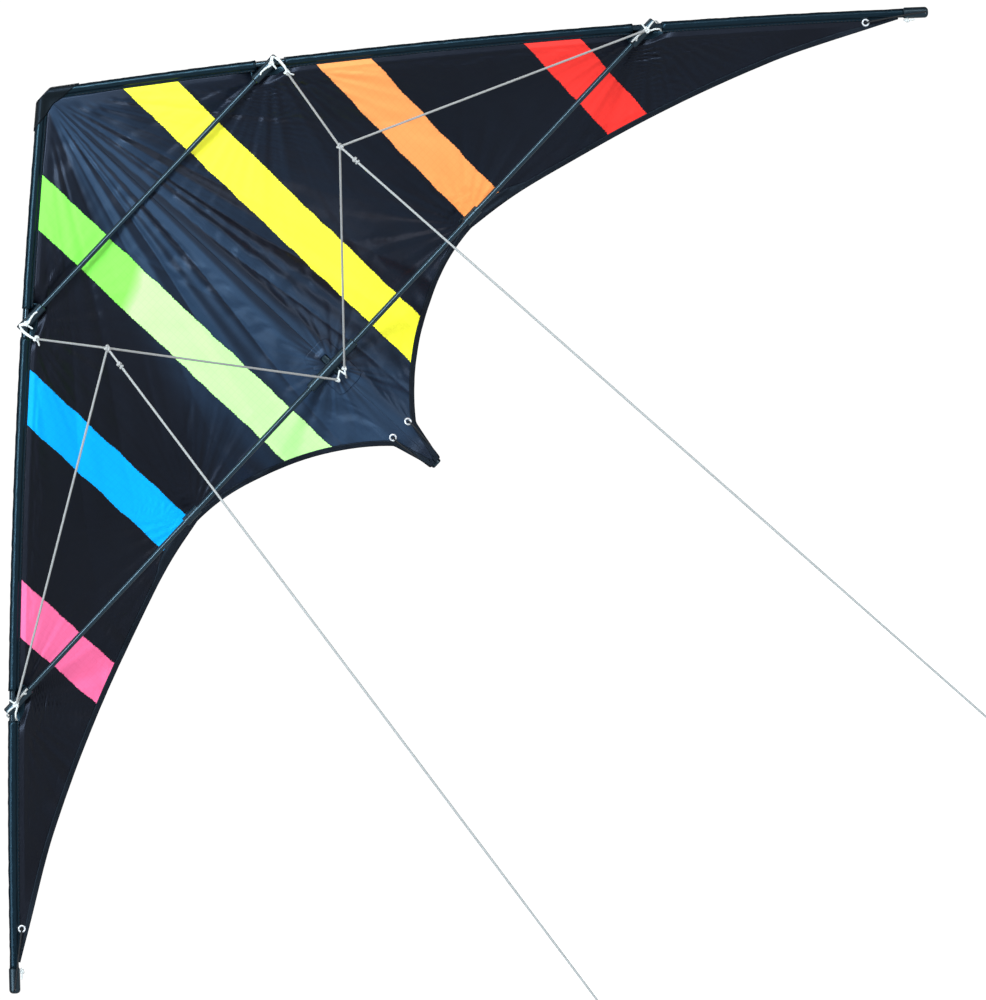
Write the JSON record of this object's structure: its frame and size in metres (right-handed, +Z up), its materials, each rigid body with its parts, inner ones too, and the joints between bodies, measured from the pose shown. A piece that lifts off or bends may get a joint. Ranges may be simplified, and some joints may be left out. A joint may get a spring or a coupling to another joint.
{
  "type": "delta kite",
  "caption": "Swept dual-line delta kite with bowed leading edges, a striped black sail, crossed spreader rods, bridles and flying lines.",
  "frame": {"origin": "centre of the tail cap's flat lower end, on the spine's axis", "axes": "+Z up the spine to the nose, +X to the right wing tip, -Y to the front where the bridle and flier are"},
  "size_m": [1.1978, 0.4488, 0.9431],
  "materials": {
    "black_sail": "coated ripstop, slight sheen",
    "black_binding": "matt woven tape",
    "yellow_fabric": "fluorescent ripstop",
    "orange_fabric": "fluorescent ripstop",
    "red_fabric": "fluorescent ripstop",
    "green_fabric": "fluorescent ripstop",
    "blue_fabric": "bright ripstop",
    "pink_fabric": "fluorescent ripstop",
    "rod": "pultruded glass fibre, satin",
    "ferrule": "plain",
    "soft_fitting": "soft moulded vinyl",
    "eyelet": "nickel plated",
    "tension_cord": "braided elastic cord",
    "white_cord": "braided polyester",
    "bridle_cord": "braided polyester",
    "flying_line": "braided polyester"
  },
  "bodies": {
    "frame": {"inner_panel_right": "black_sail", "inner_panel_left": "black_sail", "second_panel_right": "black_sail", "second_panel_left": "black_sail", "third_panel_right": "black_sail", "third_panel_left": "black_sail", "tip_panel_right": "black_sail", "tip_panel_left": "black_sail", "stripe_yellow": "yellow_fabric", "stripe_orange": "orange_fabric", "stripe_red": "red_fabric", "stripe_green": "green_fabric", "stripe_blue": "blue_fabric", "stripe_pink": "pink_fabric", "leading_edge_sleeve_left": "black_binding", "leading_edge_sleeve_right": "black_binding", "nose_patch": "black_binding", "spine_pocket": "black_binding", "centre_patch": "black_binding", "standoff_patches": "black_binding", "trailing_hem_left": "black_binding", "trailing_hem_right": "black_binding", "spine_rod": "rod", "upper_spreader": "rod", "lower_spreader_left": "rod", "lower_spreader_right": "rod", "leading_edge_rod_upper_left": "rod", "leading_edge_rod_upper_right": "rod", "leading_edge_rod_lower_left": "rod", "leading_edge_rod_lower_right": "rod", "leading_edge_ferrules": "ferrule", "centre_tee": "soft_fitting", "upper_connector_left": "soft_fitting", "upper_connector_right": "soft_fitting", "lower_connector_left": "soft_fitting", "lower_connector_right": "soft_fitting", "tip_cap_left": "soft_fitting", "tip_cap_right": "soft_fitting", "tail_cap": "soft_fitting", "spreader_stops": "soft_fitting", "eyelets": "eyelet", "tension_cords": "tension_cord", "bridle_anchor_knots": "white_cord", "outhaul_left": "bridle_cord", "outhaul_right": "bridle_cord", "inhaul_left": "bridle_cord", "inhaul_right": "bridle_cord"},
    "tow_point_left": {"tow_knot_left": "white_cord"},
    "pigtail_left": {"pigtail_left": "bridle_cord"},
    "line_left": {"flying_line_left": "flying_line"},
    "tow_point_right": {"tow_knot_right": "white_cord"},
    "pigtail_right": {"pigtail_right": "bridle_cord"},
    "line_right": {"flying_line_right": "flying_line"},
    "standoff_left": {"standoff_holder_left": "soft_fitting", "standoff_rod_left": "rod", "standoff_end_cap_left": "soft_fitting"},
    "standoff_right": {"standoff_holder_right": "soft_fitting", "standoff_rod_right": "rod", "standoff_end_cap_right": "soft_fitting"}
  },
  "joints": [
    {"name": "bridle_slack_left", "type": "slide", "parent": "frame", "child": "tow_point_left", "axis": [0, 1, 0], "range_m": [0, 0.16], "deforming": ["outhaul_left", "inhaul_left"]},
    {"name": "line_pitch_left", "type": "hinge", "parent": "tow_point_left", "child": "pigtail_left", "pos_m": [-0.1286, -0.2145, 0.281], "axis": [1, 0, 0], "range_deg": [-72, 8]},
    {"name": "line_spread_left", "type": "hinge", "parent": "pigtail_left", "child": "line_left", "pos_m": [-0.13157, -0.21798, 0.26463], "axis": [0, 1, 0], "range_deg": [-20, 20]},
    {"name": "bridle_slack_right", "type": "slide", "parent": "frame", "child": "tow_point_right", "axis": [0, 1, 0], "range_m": [0, 0.16], "deforming": ["outhaul_right", "inhaul_right"]},
    {"name": "line_pitch_right", "type": "hinge", "parent": "tow_point_right", "child": "pigtail_right", "pos_m": [0.1286, -0.2145, 0.2545], "axis": [1, 0, 0], "range_deg": [-72, 8]},
    {"name": "line_spread_right", "type": "hinge", "parent": "pigtail_right", "child": "line_right", "pos_m": [0.12883, -0.21803, 0.23787], "axis": [0, 1, 0], "range_deg": [-20, 20]},
    {"name": "standoff_swivel_left", "type": "hinge", "parent": "frame", "child": "standoff_left", "pos_m": [-0.182, -0.0095, 0.129], "axis": [1, 0, 0], "range_deg": [-90, 0]},
    {"name": "standoff_swivel_right", "type": "hinge", "parent": "frame", "child": "standoff_right", "pos_m": [0.182, -0.0095, 0.129], "axis": [1, 0, 0], "range_deg": [-90, 0]}
  ]
}
